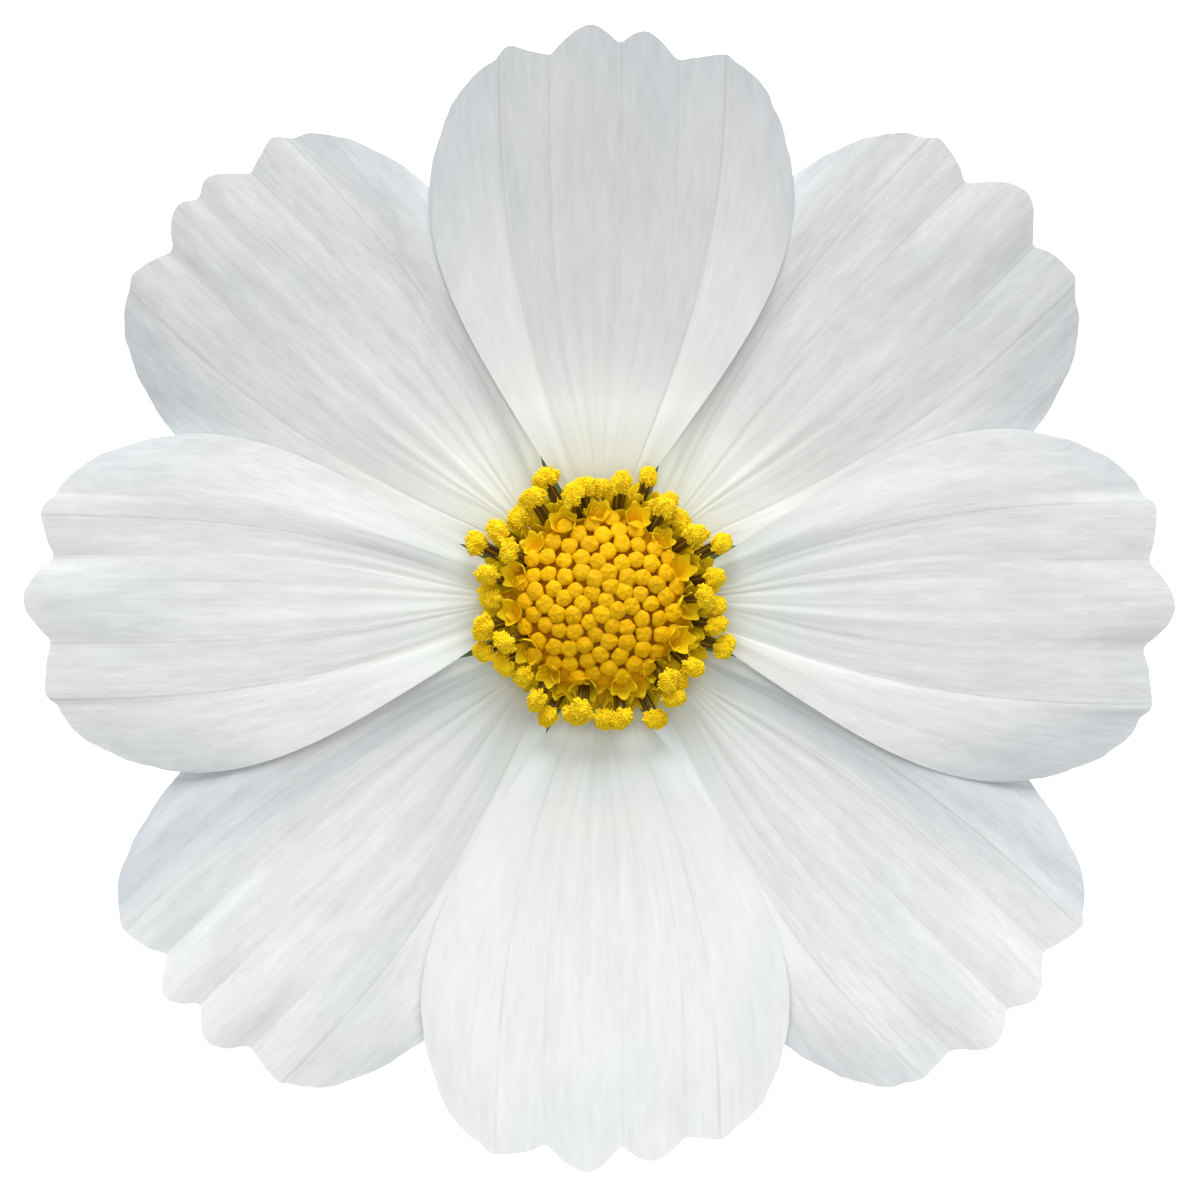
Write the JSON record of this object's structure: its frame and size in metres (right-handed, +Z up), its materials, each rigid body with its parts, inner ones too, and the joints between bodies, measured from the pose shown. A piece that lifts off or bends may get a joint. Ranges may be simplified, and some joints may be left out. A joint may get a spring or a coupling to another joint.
{
  "type": "cosmos flower head",
  "caption": "White single cosmos flower head with toothed, pleated petals in layers, a domed yellow disc and green bracts below, lying face up.",
  "frame": {"origin": "on the flower's axis, in the plane that the outer bracts' tips rest on", "axes": "+Z up out of the flower's face, +Y along the first upper petal"},
  "size_m": [0.0751, 0.0748, 0.0126],
  "materials": {
    "petal": "white, finely ribbed, matt",
    "bud": "golden yellow, waxy",
    "floret": "yellow, powdery tips, dark brown anther tubes",
    "bract_pale": "pale green, brown veined, thin",
    "bract_green": "green, smooth",
    "anther": "dark brown, fluted",
    "cup": "green, smooth"
  },
  "bodies": {
    "root": {"petal_upper_1": "petal", "petal_lower_1": "petal", "petal_upper_2": "petal", "petal_lower_2": "petal", "petal_upper_3": "petal", "petal_lower_3": "petal", "petal_upper_4": "petal", "petal_lower_4": "petal", "bract_inner_1": "bract_pale", "bract_inner_2": "bract_pale", "bract_inner_3": "bract_pale", "bract_inner_4": "bract_pale", "bract_inner_5": "bract_pale", "bract_inner_6": "bract_pale", "bract_inner_7": "bract_pale", "bract_inner_8": "bract_pale", "bract_outer_1": "bract_green", "bract_outer_2": "bract_green", "bract_outer_3": "bract_green", "bract_outer_4": "bract_green", "bract_outer_5": "bract_green", "bract_outer_6": "bract_green", "bract_outer_7": "bract_green", "bract_outer_8": "bract_green", "receptacle": "cup", "disc_buds": "bud", "disc_open_florets": "floret"}
  },
  "joints": []
}
